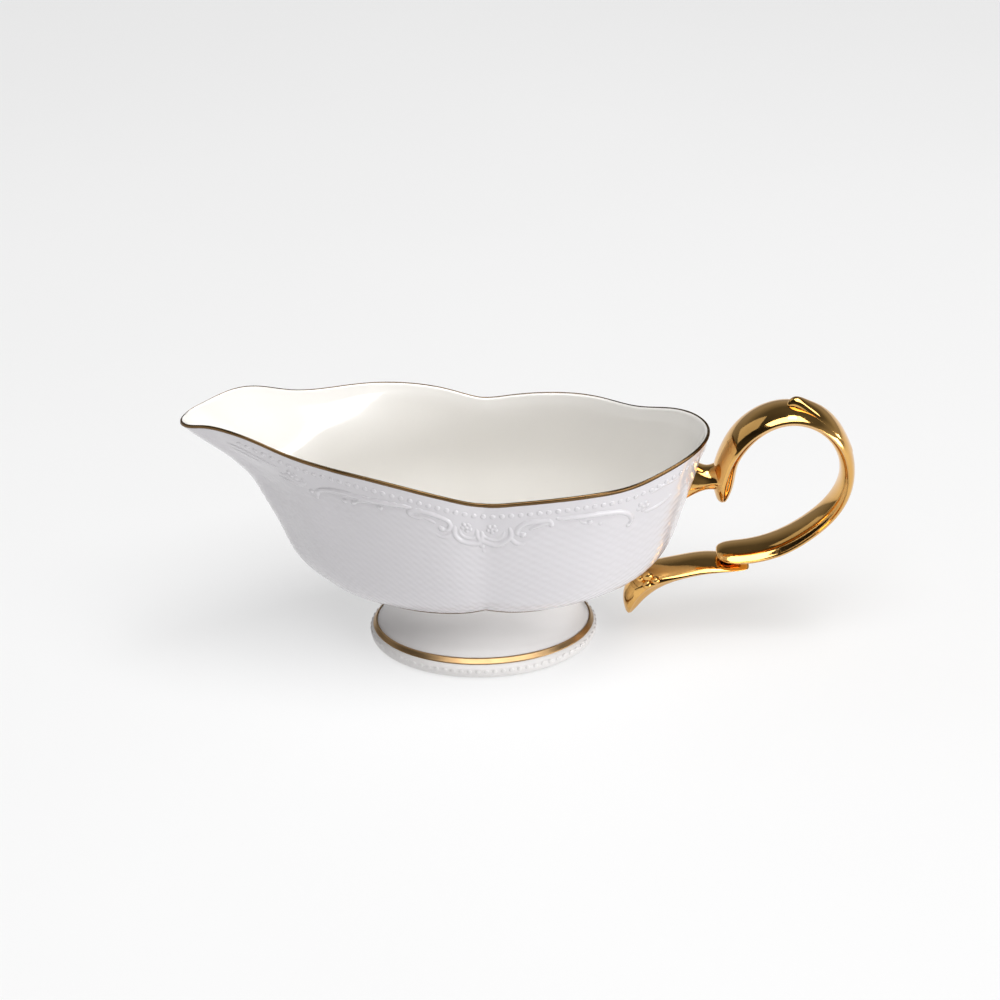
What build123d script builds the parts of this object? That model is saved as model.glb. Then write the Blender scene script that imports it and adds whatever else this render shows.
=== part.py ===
from build123d import *
import math
import os

# Porcelain cream jug of sauce-boat shape on an oval pedestal foot.
# Millimetres, +Z up. The origin is the middle of the foot's underside,
# the spout points along -X and the handle along +X. The jug is
# symmetrical about the XZ plane.

# ---------------------------------------------------------------- bowl
CREASE_X = 1.0           # the sharp fold in each flank, between its two big lobes
HALF_WIDTH = 38.4        # half the width of the rim at the crease
GILT_EDGE = 1.3          # height of the gilded edge that tops the wall

# Plan of the rim on one flank, as distance from the crease plane and half width.
END_PLAN = [(80, 0), (78, 8.4), (70.4, 18.4), (58.8, 26), (47, 32.9), (31, 37.7), (14, 39), (0, 38.4)]
SPOUT_PLAN = [(104, 0), (102, 5), (95, 10.4), (82, 17.6), (66, 23.6), (50, 30.5), (32, 36.6),
              (14, 39.1), (0, 38.4)]

# Height of the rim along the jug: a dip at the crease, waves at the other lobes.
RIM_LINE = [(-120, 87), (-104, 89.8), (-88, 92.2), (-78, 91.3), (-67, 87.7), (-56, 85.8), (-40, 84.2),
            (-24, 81.4), (-10, 77.7), (CREASE_X, 74.8), (12, 75.2), (26, 76.1), (42, 76.1), (56, 75.9),
            (66, 77.3), (76, 79.6), (95, 82)]

# Level sections of the outside, from the neck up past the rim:
# height, length to the end, length to the spout, half width, share of the rim's lobed plan.
OUTER_LEVELS = [
    (21, 36, 37, 20.5, 0.10),
    (23.5, 47, 49, 26.5, 0.22),
    (28, 57, 59, 31.5, 0.36),
    (36, 64.5, 66.5, 34.8, 0.50),
    (48, 69.2, 71.8, 37, 0.62),
    (60, 73, 77.2, 38, 0.74),
    (70, 76.2, 82.6, 38.3, 0.86),
    (78, 78.8, 90.8, 38.4, 0.95),
    (85, 81, 100, 38.4, 1.0),
    (94, 83.5, 110, 38.5, 1.0),
]
# The same for the inside, from the flat of the floor up.
INNER_LEVELS = [
    (24.5, 33, 34, 18, 0.05),
    (28, 48, 50, 25.6, 0.25),
    (36, 60.3, 62, 31.3, 0.45),
    (48, 66.1, 68.4, 34.3, 0.60),
    (60, 70.2, 74, 35.5, 0.73),
    (70, 73.6, 79.4, 35.8, 0.86),
    (78, 76.3, 87.6, 35.9, 0.95),
    (85, 78.5, 97, 35.9, 1.0),
    (94, 81, 107.2, 36, 1.0),
]
FLANK_PINCH = 0.07       # how far the crease is pressed into a round level
NECK_HEIGHT = OUTER_LEVELS[0][0]

# --------------------------------------------------------------- beads
RIM_BEAD_DROP = 5.0      # rim to the centres of the bead row under it
RIM_BEAD_RADIUS = 1.1
RIM_BEAD_PITCH = 3.2
RIM_BEAD_FRONT = -84     # where the row ends, beside the spout
FOOT_BEAD_RADIUS = 0.95
FOOT_BEAD_PITCH = 3.0
FOOT_BEAD_HEIGHT = 3.0

# ---------------------------------------------------------------- foot
# Oval levels of the foot: height, half length, half width.
FOOT_LIP = [(0, 39.6, 29.9), (1.4, 40.7, 31), (3.2, 40.8, 31.1), (5, 39.2, 29.3)]
FOOT_BAND = [(5, 39.2, 29.3), (6.1, 38.3, 28.2), (7, 37.7, 27.5)]
FOOT_STEM = [(7.0, 37.7, 27.5), (10, 35.7, 24.9), (14, 34.7, 22.5), (18, 34.9, 21), (NECK_HEIGHT, 36.2, 20.6)]
FOOT_RECESS = [(0, 35, 25.2), (4, 33.6, 23.8), (10, 31, 20.4), (17, 25, 14)]
BAND_DEPTH = 0.5         # thickness of the gilded ring round the foot

# -------------------------------------------------------------- handle
LOOP_HALF_WIDTH = 8.2
# Side outline of the loop: up its outside from the lower scroll end, over the
# top and down to the pointed tip, then back along the finger side.
LOOP_OUTSIDE = [(83.4, 29.4), (91, 29), (100.3, 30.2), (109.6, 33.8), (118.8, 40), (126.6, 48), (131, 57.4),
                (131.4, 67.5), (126.6, 79.3), (117.8, 87), (107, 89.4), (96.3, 86), (89, 79.4),
                (84.6, 71.5), (83.2, 62.5), (85.2, 54)]
LOOP_INSIDE = [(85.2, 54), (88.3, 60.5), (90.3, 68.6), (94.6, 75.4), (100.4, 80.6), (108, 83.2), (115.8, 81.8),
               (122.6, 76), (126.4, 66.8), (126, 58), (122, 50.2), (114.8, 43.2), (106.4, 37.8),
               (98.4, 34.8), (91, 33.7), (83.4, 33.4)]
LOOP_ROUNDING = 1.6

THUMB_HALF_WIDTH = 5.0
THUMB_OUTLINE = [(109.2, 88), (111, 91.8), (115.6, 90.2), (121.4, 85.8), (127, 79.2), (131.2, 70)]
THUMB_UNDERSIDE = [(131.2, 70), (124, 79), (116, 85.5), (109.2, 88)]

NECK_HALF_WIDTH = 5.6
NECK_TOP = [(70, 70), (76.5, 66.6), (80.2, 65.2), (86, 68)]
NECK_BOTTOM = [(85, 57.6), (81.5, 58.2), (76.5, 57.6), (68, 50)]

LEAF_HALF_WIDTH = 7.2
LEAF_TOP = [(94.8, 26.4), (88.5, 28.6), (82, 29.4), (75.5, 28.9), (68.5, 27.6), (62, 27), (55, 28)]
LEAF_END = [(55, 28), (52.4, 20), (51.8, 13), (53.6, 7.6)]
LEAF_BOTTOM = [(53.6, 7.6), (58, 13.4), (63, 17.9), (69, 21.4), (76, 23.8), (85, 25.2), (94.8, 26.4)]
LEAF_ROUNDING = 1.2

FAR = 200                # beyond the jug on every side, for the cutting tool


def lobed_edge(plan, end_length, half_width, lobing, height, side):
    """One end of a level section, from crease to crease round the end."""
    plan_length = max(x for x, _ in plan)
    flank = []
    for x, y in plan:
        turn = math.atan2(y / HALF_WIDTH, x / plan_length)
        pinch = 1 - FLANK_PINCH * (1 - math.cos(turn)) ** 2
        along = lobing * x / plan_length + (1 - lobing) * math.cos(turn)
        across = lobing * y / HALF_WIDTH + (1 - lobing) * math.sin(turn) * pinch
        flank.append((side * along * end_length, across * half_width))
    near = [Vector(CREASE_X + x, -y, height) for x, y in reversed(flank)]
    far = [Vector(CREASE_X + x, y, height) for x, y in flank[1:]]
    return Spline(*near, *far)


def level_section(level):
    height, end_length, spout_length, half_width, lobing = level
    end = lobed_edge(END_PLAN, end_length, half_width, lobing, height, 1)
    spout = lobed_edge(SPOUT_PLAN, spout_length, half_width, lobing, height, -1)
    return Wire([end.edge(), spout.edge()])


def lofted(levels):
    return Solid.make_loft([level_section(level) for level in levels])


def xz_points(outline, y=0.0, drop=0.0):
    return [Vector(x, y, z - drop) for x, z in outline]


def side_plate(outlines, half_width):
    """A flat plate whose closed outline in the XZ plane is a chain of splines."""
    curves = [Spline(*xz_points(outline, -half_width)).edge() for outline in outlines]
    links = []
    for first, second in zip(curves, curves[1:] + curves[:1]):
        if (first @ 1 - second @ 0).length > 0.01:
            links.append(Edge.make_line(first @ 1, second @ 0))
    outline = Wire(curves + links)
    return Solid.extrude(Face(outline), Vector(0, 2 * half_width, 0))


def softened(plate, half_width, radius):
    """The plate with the long edges of its two flat sides rounded."""
    rims = [edge for edge in plate.edges() if abs(abs(edge.center().Y) - half_width) < 0.01 and edge.length > 8]
    return plate.fillet(radius, rims)


def region_above(drop):
    """Everything higher than the rim line lowered by drop."""
    line = Spline(*xz_points(RIM_LINE, -FAR, drop)).edge()
    roof = Polyline(line @ 1, Vector(FAR, -FAR, FAR), Vector(-FAR, -FAR, FAR), line @ 0).edges()
    return Solid.extrude(Face(Wire([line, *roof])), Vector(0, 2 * FAR, 0))


def oval_loft(levels):
    ovals = [Wire.make_ellipse(half_length, half_width, Plane.XY.offset(height))
             for height, half_length, half_width in levels]
    return Solid.make_loft(ovals)


def bead_row(path, pitch, radius):
    """Separate round beads at even spaces along a closed path."""
    count = round(path.length / pitch)
    spots = [path.position_at(number / count) for number in range(count)]
    return [Solid.make_sphere(radius, Plane(spot)) for spot in spots]


def build_bowl(outside):
    """The wall as the bowl below its gilded edge, and that edge."""
    wall = outside - lofted(INNER_LEVELS)
    gilt_edge = wall - region_above(0) & region_above(GILT_EDGE)
    return wall - region_above(GILT_EDGE), gilt_edge


def build_rim_beads(outside):
    """Beads under the rim, round both flanks and the handle end but not the spout's tip."""
    below_row = outside - region_above(RIM_BEAD_DROP)
    lid = max(below_row.faces(), key=lambda face: face.center().Z)
    row = bead_row(lid.outer_wire(), RIM_BEAD_PITCH, RIM_BEAD_RADIUS)
    return [bead for bead in row if bead.center().X > RIM_BEAD_FRONT]


def build_foot():
    """The pedestal with its recess, and the gilded ring that is let into it."""
    blank = oval_loft(FOOT_LIP) + oval_loft(FOOT_BAND) + oval_loft(FOOT_STEM)
    low, high = FOOT_BAND[0], FOOT_BAND[-1]
    core = oval_loft([(low[0], low[1] - BAND_DEPTH, low[2] - BAND_DEPTH),
                      (high[0], high[1] - BAND_DEPTH, high[2] - BAND_DEPTH)])
    ring = oval_loft(FOOT_BAND) - core
    return blank - ring - oval_loft(FOOT_RECESS), ring


def build_foot_beads():
    _, half_length, half_width = FOOT_LIP[2]
    path = Wire.make_ellipse(half_length, half_width, Plane.XY.offset(FOOT_BEAD_HEIGHT))
    return bead_row(path, FOOT_BEAD_PITCH, FOOT_BEAD_RADIUS)


def build_handle(outside):
    """Loop, thumb leaf, upper neck and lower leaf, each cut to meet its neighbours."""
    loop = side_plate([LOOP_OUTSIDE, LOOP_INSIDE], LOOP_HALF_WIDTH)
    loop = softened(loop, LOOP_HALF_WIDTH, LOOP_ROUNDING)
    thumb = side_plate([THUMB_OUTLINE, THUMB_UNDERSIDE], THUMB_HALF_WIDTH) - loop
    neck = side_plate([NECK_TOP, NECK_BOTTOM], NECK_HALF_WIDTH) - outside - loop
    leaf = side_plate([LEAF_TOP, LEAF_END, LEAF_BOTTOM], LEAF_HALF_WIDTH)
    leaf = softened(leaf, LEAF_HALF_WIDTH, LEAF_ROUNDING) - outside - loop
    return {"handle_loop": loop, "thumb_leaf": thumb, "handle_neck": neck, "handle_lower_leaf": leaf}


def build_jug():
    outside = lofted(OUTER_LEVELS)
    nodes = {}
    nodes["bowl"], nodes["rim_gilding"] = build_bowl(outside)
    nodes["rim_bead_row"] = Compound(build_rim_beads(outside))
    nodes["foot"], nodes["foot_gilding"] = build_foot()
    nodes["foot_bead_row"] = Compound(build_foot_beads())
    nodes.update(build_handle(outside))
    return nodes


os.makedirs("parts", exist_ok=True)
for node_name, shape in build_jug().items():
    export_step(shape, f"parts/{node_name}.step")
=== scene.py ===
import math

import bpy
import numpy as np
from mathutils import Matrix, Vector
from mathutils.bvhtree import BVHTree


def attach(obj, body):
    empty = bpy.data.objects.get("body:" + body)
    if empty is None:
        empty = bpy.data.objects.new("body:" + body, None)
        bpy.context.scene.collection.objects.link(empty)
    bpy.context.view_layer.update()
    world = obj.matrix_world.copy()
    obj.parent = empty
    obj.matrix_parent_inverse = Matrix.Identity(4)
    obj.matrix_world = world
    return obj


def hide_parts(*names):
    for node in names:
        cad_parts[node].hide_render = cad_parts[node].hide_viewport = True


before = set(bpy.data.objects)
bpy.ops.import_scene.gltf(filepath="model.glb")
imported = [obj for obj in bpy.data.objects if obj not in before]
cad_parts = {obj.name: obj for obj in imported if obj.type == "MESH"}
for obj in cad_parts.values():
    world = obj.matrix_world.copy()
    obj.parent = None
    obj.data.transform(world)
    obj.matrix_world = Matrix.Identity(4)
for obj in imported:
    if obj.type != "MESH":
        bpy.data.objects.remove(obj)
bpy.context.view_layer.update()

# A gilded porcelain cream jug. Outlines and levels are in millimetres, in the
# jug's own frame: +Z up, spout towards -X, handle towards +X, mirrored about Y = 0.
MM = 0.001
MERGE_WITHIN = 0.000002

# Plan of the rim on one flank: distance from the crease plane, half width.
CREASE_X = 1.0
HALF_WIDTH = 38.4
END_PLAN = [(80, 0), (78, 8.4), (70.4, 18.4), (58.8, 26), (47, 32.9), (31, 37.7), (14, 39), (0, 38.4)]
SPOUT_PLAN = [(105.2, 0), (103.0, 4.2), (95, 8.6), (82, 16.6), (66, 24.2), (50, 31.1), (32, 36.7),
              (14, 39.1), (0, 38.4)]
FLANK_PINCH = 0.07
RIM_LINE = [(-120, 85.5), (-104, 89.5), (-88, 93.2), (-78, 92.2), (-67, 88.5), (-56, 86.3), (-40, 84.7),
            (-24, 82.0), (-10, 78.3), (CREASE_X, 75.4), (12, 75.8), (26, 76.7), (42, 76.7), (56, 76.4),
            (66, 78.6), (76, 80.8), (95, 82.5)]

# Level sections: height, length to the end, length to the spout, half width, share of the rim's plan.
OUTER_LEVELS = [
    (21, 36, 37, 20.5, 0.10), (23.5, 47, 49, 26.5, 0.22), (28, 57, 59, 31.5, 0.36),
    (36, 64.5, 66.5, 34.8, 0.50), (48, 69.2, 71.8, 37, 0.62), (60, 73, 77.2, 38, 0.74),
    (70, 76.2, 82.6, 38.8, 0.86), (78, 78.8, 90.8, 39.3, 0.95), (85, 81, 100, 39.4, 1.0),
    (94, 83.5, 110, 39.5, 1.0),
]
INNER_LEVELS = [
    (24.5, 33, 34, 18, 0.05), (28, 48, 50, 25.6, 0.25), (36, 60.3, 62, 31.3, 0.45),
    (48, 66.1, 68.4, 34.3, 0.60), (60, 70.2, 74, 35.5, 0.73), (70, 73.6, 79.4, 36.3, 0.86),
    (78, 76.4, 87.8, 37.0, 0.95), (85, 78.8, 97.4, 37.2, 1.0), (94, 81.4, 107.6, 37.3, 1.0),
]
END_COLUMNS = 280
SPOUT_COLUMNS = 320
OUTER_ROWS = 110
INNER_ROWS = 34
FINE_ROWS = 160          # rows that a wall is measured along before its own rows are spread evenly
ROW_CROWDING = 1.7       # above 1, these lie closer together at the bottom, where the wall curves most
TOP_PASSES = 12          # passes that settle how high the wall goes in each column
LIP_RINGS = 7
LIP_RISE = 0.9           # height of the rounded lip above the wall's last level row
LIP_LEAN = 1.7           # how far the crest of the lip leans to the outside


# ------------------------------------------------------------ curves
def spline_at(knots, values, at):
    """Natural cubic spline through values at knots, one curve for each column of values."""
    knots = np.asarray(knots, float)
    values = np.asarray(values, float)
    gaps = np.diff(knots)
    system = np.eye(len(knots))
    pull = np.zeros_like(values)
    for i in range(1, len(knots) - 1):
        system[i, i - 1:i + 2] = gaps[i - 1], 2 * (gaps[i - 1] + gaps[i]), gaps[i]
        pull[i] = 6 * ((values[i + 1] - values[i]) / gaps[i] - (values[i] - values[i - 1]) / gaps[i - 1])
    bends = np.linalg.solve(system, pull.reshape(len(knots), -1)).reshape(values.shape)
    at = np.asarray(at, float)
    span = np.clip(np.searchsorted(knots, at) - 1, 0, len(knots) - 2)
    index = (span, np.arange(values.shape[1])) if values.ndim == 3 else (span,)
    after = (span + 1, *index[1:])
    width = gaps[span]
    share = (at - knots[span]) / width
    lift = np.ones(values[index].ndim - at.ndim, int)
    width, share = (part.reshape(*at.shape, *lift) for part in (width, share))
    start = (1 - share) ** 3 - (1 - share)
    finish = share ** 3 - share
    return ((1 - share) * values[index] + share * values[after]
            + (start * bends[index] + finish * bends[after]) * width ** 2 / 6)


def smooth_path(points, count):
    """The points joined by a smooth curve, as count points spread along it."""
    points = np.asarray(points, float)
    steps = np.linalg.norm(np.diff(points[:, :2], axis=0), axis=1)
    knots = np.concatenate([[0], np.cumsum(steps)])
    return spline_at(knots, points, np.linspace(0, knots[-1], count))


def rim_height(x):
    line = np.array(RIM_LINE)
    return spline_at(line[:, 0], line[:, 1], x)


def lobed_edge(plan, end_length, half_width, lobing, side, columns):
    """One end of a level section, from near crease to far crease round the end."""
    plan = np.array(plan, float)
    along, across = plan[:, 0] / plan[0, 0], plan[:, 1] / HALF_WIDTH
    turn = np.arctan2(across, along)
    pinch = 1 - FLANK_PINCH * (1 - np.cos(turn)) ** 2
    x = (lobing * along + (1 - lobing) * np.cos(turn)) * end_length * side + CREASE_X
    y = (lobing * across + (1 - lobing) * np.sin(turn) * pinch) * half_width
    flank = np.stack([x, y], axis=1)
    outline = np.vstack([flank[::-1] * [1, -1], flank[1:]])
    rim = np.vstack([plan[::-1] * [1, -1], plan[1:]])
    knots = np.concatenate([[0], np.cumsum(np.linalg.norm(np.diff(rim, axis=0), axis=1))])
    return spline_at(knots, outline, np.linspace(0, knots[-1], columns, endpoint=side < 0))


def level_outline(level):
    _, end_length, spout_length, half_width, lobing = level
    end = lobed_edge(END_PLAN, end_length, half_width, lobing, 1, END_COLUMNS)
    spout = lobed_edge(SPOUT_PLAN, spout_length, half_width, lobing, -1, SPOUT_COLUMNS + 1)
    return np.vstack([end, spout[:0:-1]])


def wall_rows(levels, drop, rows):
    """Rings of the wall from its lowest level up to the rim line less drop, evenly spread up it."""
    heights = np.array([level[0] for level in levels], float)
    outlines = np.array([level_outline(level) for level in levels])
    top = np.full(outlines.shape[1], heights[-1])
    for _ in range(TOP_PASSES):
        x = spline_at(heights, outlines, top[None, :])[0, :, 0]
        top = rim_height(x) - drop
    share = np.linspace(0, 1, FINE_ROWS)[:, None] ** ROW_CROWDING
    z = heights[0] + share * (top - heights[0])
    fine = np.concatenate([spline_at(heights, outlines, z), z[:, :, None]], axis=2)
    length = np.concatenate([np.zeros((1, z.shape[1])),
                             np.cumsum(np.linalg.norm(np.diff(fine, axis=0), axis=2), axis=0)])
    ring = np.empty((rows, z.shape[1], 3))
    for column in range(z.shape[1]):
        spots = np.linspace(0, length[-1, column], rows)
        for axis in range(3):
            ring[:, column, axis] = np.interp(spots, length[:, column], fine[:, column, axis])
    return ring


# ------------------------------------------------------------ making pieces
def deselect_all():
    bpy.ops.object.select_all(action="DESELECT")


def name_piece(name):
    """Names the primitive just added."""
    piece = bpy.context.object
    piece.name = piece.data.name = name
    return piece


def apply_modifier(piece, name, kind, **settings):
    """Adds one modifier and applies it straight away."""
    bpy.context.view_layer.objects.active = piece
    modifier = piece.modifiers.new(name, kind)
    for key, value in settings.items():
        setattr(modifier, key, value)
    bpy.ops.object.modifier_apply(modifier=modifier.name)


def settle(piece):
    """Puts the piece's place into its mesh, turns its faces outwards and smooths them."""
    deselect_all()
    piece.select_set(True)
    bpy.context.view_layer.objects.active = piece
    bpy.ops.object.transform_apply(location=True, rotation=True, scale=True)
    bpy.ops.object.mode_set(mode="EDIT")
    bpy.ops.mesh.select_all(action="SELECT")
    bpy.ops.mesh.remove_doubles(threshold=MERGE_WITHIN)
    bpy.ops.mesh.normals_make_consistent(inside=False)
    bpy.ops.object.mode_set(mode="OBJECT")
    bpy.ops.object.shade_smooth()
    return piece


def finish_piece(piece, material, finish, *nodes):
    """Gives the piece its material and its body, and hides the CAD nodes that it stands for."""
    if material is not None:
        piece.data.materials.clear()
        piece.data.materials.append(material)
    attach(piece, "root")
    if nodes:
        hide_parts(*nodes)


def ring_sheet(name, rings):
    """A grid laid onto closed rings of points, one ring after another, all with as many points."""
    rings = np.asarray(rings) * MM
    rows, columns = rings.shape[:2]
    deselect_all()
    bpy.ops.mesh.primitive_grid_add(x_subdivisions=columns, y_subdivisions=rows - 1, size=1)
    piece = name_piece(name)
    lapped = np.concatenate([rings, rings[:, :1]], axis=1)
    piece.data.vertices.foreach_set("co", lapped.reshape(-1))
    piece.data.update()
    return settle(piece)


# ------------------------------------------------------------ the bowl
WEAVE_WIDTH = 5.1        # one diamond of the weave, round the bowl
WEAVE_HEIGHT = 3.0       # and up it
WEAVE_RISE = 0.24        # how far it stands out of the wall
WEAVE_BODY = 0.5         # share of the rise that every strand has
WEAVE_OVER = 0.14        # and that it gains or loses where it rides over or under
WEAVE_START = (23, 30)   # heights between which it grows to its full rise
FLOOR_RINGS = [0.97, 0.9, 0.78, 0.6, 0.38, 0.16, 0.0]    # shares of the lowest ring, in to the middle
LINING_SLOPE = 0.7       # a face that looks up more than this is floor, and takes the lining's paler tone, painted light
LINING_MARGIN = 1        # how far below the lowest inner level the lining may reach
FLOOR_DISH = 0.8         # how much lower the middle of the inside is than its lowest ring


def grid_normals(grid):
    """Outward normals of a ring grid: up the rows and round the closed columns."""
    up = np.gradient(grid, axis=0)
    round_step = (np.roll(grid, -1, axis=1) - np.roll(grid, 1, axis=1)) / 2
    normal = np.cross(round_step, up)
    return normal / np.linalg.norm(normal, axis=2, keepdims=True)


def smooth_step(low, high, value):
    share = np.clip((value - low) / (high - low), 0, 1)
    return share * share * (3 - 2 * share)


def round_the_bowl(ring):
    """How far each column lies round the bowl, in whole weave diamonds from the near crease."""
    step = np.linalg.norm(np.diff(np.vstack([ring, ring[:1]]), axis=0), axis=1)
    place = np.concatenate([[0], np.cumsum(step)])
    end, total = place[END_COLUMNS], place[-1]
    end_count = round(end / WEAVE_WIDTH)
    spout_count = round((total - end) / WEAVE_WIDTH)
    place = place[:-1]
    on_end = place < end
    return np.where(on_end, place / end * end_count, end_count + (place - end) / (total - end) * spout_count)


# Where the weave starts below the rim, under the scrolls: X, drop below the rim.
WEAVE_TOP = [(-120, 26), (-90, 18), (-72, 14.5), (-58, 14), (-50, 11.5), (-28, 10), (-22, 12), (-12, 15),
             (0, 18.5), (12, 17), (20, 12), (28, 9.5), (44, 10.5), (52, 16), (58, 15), (70, 12), (90, 12)]


def weave_height(around, drop, x):
    """Two families of rounded strands that cross on the diagonal and ride over each other in turn."""
    rising = around + drop / WEAVE_HEIGHT
    falling = around - drop / WEAVE_HEIGHT
    height = np.zeros_like(drop)
    for strand, other, first in ((rising, falling, 0), (falling, rising, 1)):
        across = 2 * (strand - np.floor(strand)) - 1
        over = np.cos(np.pi * (other + np.floor(strand) + first))
        height += (1 - across ** 2) * (WEAVE_BODY + WEAVE_OVER * over)
    top = np.array(WEAVE_TOP)
    start = np.interp(x, top[:, 0], top[:, 1])
    return height * smooth_step(start - 0.5, start + 2, drop)


CREASE_COLUMNS = 7.0     # columns over which the rounding fades on each side of the fold
CREASE_PULL = 0.5        # how far one pass moves a point towards its neighbours
OUTER_CREASE = (30, 2)   # passes that round it, and the clear band under the rim
INNER_CREASE = (60, 0.5)
CREASE_FADE = 9          # depth over which the rounding comes in below the clear band


def soften_crease(wall, passes, clear):
    """Rounds the fold between end and spout, below the clear band under the rim."""
    columns = wall.shape[1]
    index = np.arange(columns)
    away = np.minimum(np.minimum(index, columns - index), np.abs(index - END_COLUMNS))
    drop = rim_height(wall[:, :, 0]) - wall[:, :, 2]
    fade = smooth_step(clear, clear + CREASE_FADE, drop)
    share = CREASE_PULL * np.exp(-(away / CREASE_COLUMNS) ** 2) * fade
    for _ in range(passes):
        beside = (np.roll(wall, 1, axis=1) + np.roll(wall, -1, axis=1)) / 2
        wall = wall + (beside - wall) * share[:, :, None]
    return wall


NOTCH_DEPTH = 2.6        # how far the fold draws the wall in at the neck
NOTCH_REACH = 6.0        # how far it spreads along the jug
NOTCH_LEVELS = (22, 34)  # heights between which it fades out
LIP_FLARE = 0.75
FLARE_DEPTH = 3.6


def notch_base(outer):
    """Draws the wall in at the fold, most at the neck and fading out up the flank."""
    away = np.abs(outer[:, :, 0] - CREASE_X)
    fade = 1 - smooth_step(*NOTCH_LEVELS, outer[:, :, 2])
    depth = NOTCH_DEPTH * np.exp(-away / NOTCH_REACH) * fade
    drawn = outer.copy()
    drawn[:, :, 1] -= np.sign(outer[:, :, 1]) * depth
    return drawn


def flare_lip(inner):
    """Curves the inside of the wall outwards just under the lip."""
    drop = rim_height(inner[:, :, 0]) - inner[:, :, 2]
    share = np.clip(1 - (drop - LIP_RISE) / FLARE_DEPTH, 0, 1) ** 2
    normal = grid_normals(inner)
    normal[:, :, 2] = 0
    return inner + normal * (share * LIP_FLARE)[:, :, None]


def lip_rings(outside, inside):
    """Rings over the lip from the outside to the inside, highest near the outside."""
    rings = []
    for step in range(1, LIP_RINGS + 1):
        turn = math.pi * step / (LIP_RINGS + 1)
        share = ((1 - math.cos(turn)) / 2) ** LIP_LEAN
        ring = outside + share * (inside - outside)
        ring[:, 2] += math.sin(turn) * LIP_RISE
        rings.append(ring)
    return rings


def make_bowl(outer, inner, outside, lining):
    drop = rim_height(outer[:, :, 0]) - outer[:, :, 2]
    around = np.broadcast_to(round_the_bowl(outer[-1]), drop.shape)
    weave = weave_height(around, drop, outer[:, :, 0]) * smooth_step(*WEAVE_START, outer[:, :, 2])
    woven = outer + grid_normals(outer) * (weave * WEAVE_RISE)[:, :, None]
    base = [woven[0] * [share, share, 1] for share in FLOOR_RINGS[::-1]]
    floor = [inner[0] * [share, share, 1] - [0, 0, FLOOR_DISH * (1 - share)] for share in FLOOR_RINGS]
    rings = [*base, *woven, *lip_rings(outer[-1], inner[-1]), *inner[::-1], *floor]
    bowl = ring_sheet("bowl_body", rings)
    bowl.data.materials.append(outside)
    bowl.data.materials.append(lining)
    lowest = (INNER_LEVELS[0][0] - LINING_MARGIN) * MM
    # Faces that look inwards or upwards take the lining's paler tone as painted light, and the rest keep the
    # outside's greyer tone as painted shade.
    for face in bowl.data.polygons:
        facing_in = face.normal.x * (face.center.x - CREASE_X * MM) + face.normal.y * face.center.y < 0
        if face.center.z > lowest and (facing_in or face.normal.z > LINING_SLOPE):
            face.material_index = 1
    return bowl


NECK_CORD_ROW = 13       # the wall row that the line lies on
NECK_CORD_RADIUS = 0.3
NECK_CORD_SIDES = 8


def make_neck_cord(outer):
    """A fine gilt line round the underside of the bowl, where it meets the foot."""
    middle = outer[NECK_CORD_ROW]
    normal = grid_normals(outer)[NECK_CORD_ROW]
    up = outer[NECK_CORD_ROW + 1] - outer[NECK_CORD_ROW - 1]
    up /= np.linalg.norm(up, axis=1, keepdims=True)
    rings = []
    for step in range(NECK_CORD_SIDES + 1):
        turn = 2 * math.pi * step / NECK_CORD_SIDES
        rings.append(middle + NECK_CORD_RADIUS * (math.cos(turn) * normal + math.sin(turn) * up))
    return ring_sheet("neck_cord", rings)


# ------------------------------------------------------------ gilding
BAND_WIDTH = 1.2
BAND_LIFT = 0.05
BAND_LIP_RINGS = 5       # rings of the lip that the band covers, from the outside
BAND_THICKNESS = 0.2
BAND_WANDER = [(5, 0.05), (13, 0.03), (31, 0.02)]    # waves round the rim, change in width


def make_rim_gilding(outer, inner):
    """A thin painted band over the lip, a little wider in some places than in others."""
    wander = np.zeros(outer.shape[1])
    place = np.linspace(0, 2 * np.pi, outer.shape[1], endpoint=False)
    for waves, size in BAND_WANDER:
        wander += size * np.sin(waves * place + waves)
    over_lip = lip_rings(outer[-1], inner[-1])[:BAND_LIP_RINGS]
    grid = np.array([row_below(outer, BAND_WIDTH + wander), outer[-1], *over_lip])
    lifted = grid + grid_normals(grid) * BAND_LIFT
    band = ring_sheet("rim_gold_band", lifted)
    apply_modifier(band, "Thickness", "SOLIDIFY", thickness=BAND_THICKNESS * MM, offset=-1.0)
    return band


def row_below(wall, drop):
    """The ring of the wall that lies drop below the rim line on every column."""
    ring = np.empty(wall.shape[1:])
    depth = rim_height(wall[:, :, 0]) - wall[:, :, 2]
    for column in range(wall.shape[1]):
        for axis in range(3):
            ring[column, axis] = np.interp(-drop[column], -depth[:, column], wall[:, column, axis])
    return ring


# ------------------------------------------------------------ foot
# The foot's outline from the middle of its underside out, up and in under the bowl:
# height, half length, half width.
FOOT_LEVELS = [
    (16.8, 6, 3.4), (16.4, 16, 9), (14.6, 24, 14.4), (10, 31, 20.4), (4, 33.6, 23.8), (0.9, 34.8, 25),
    (0.15, 35.6, 26.6), (0, 36.4, 27.6), (0, 38.8, 30.2), (0.3, 39.7, 31.1), (1.2, 40.6, 32.1),
    (2.6, 40.9, 32.4), (3.8, 40.7, 31.9), (4.6, 40.1, 31.0), (5.0, 39.6, 30.1), (5.5, 39.0, 29.2),
    (7, 37.8, 27.75), (8.4, 36.5, 26.1), (10.4, 35.5, 24.7), (13, 34.8, 22.9), (16, 34.6, 21.7),
    (19, 35.2, 21.0), (21.2, 36.4, 20.7), (23, 38.5, 21.5),
]
FOOT_SIDES = 96
FOOT_SMOOTHING = 2
FOOT_BAND_LEVELS = [(5.15, 39.8, 30.2), (5.4, 39.6, 29.9), (5.9, 39.2, 29.35), (6.4, 38.8, 28.8),
                    (6.8, 38.45, 28.35)]
FOOT_BAND_SIDES = 384
FOOT_BAND_THICKNESS = 0.4


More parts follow.
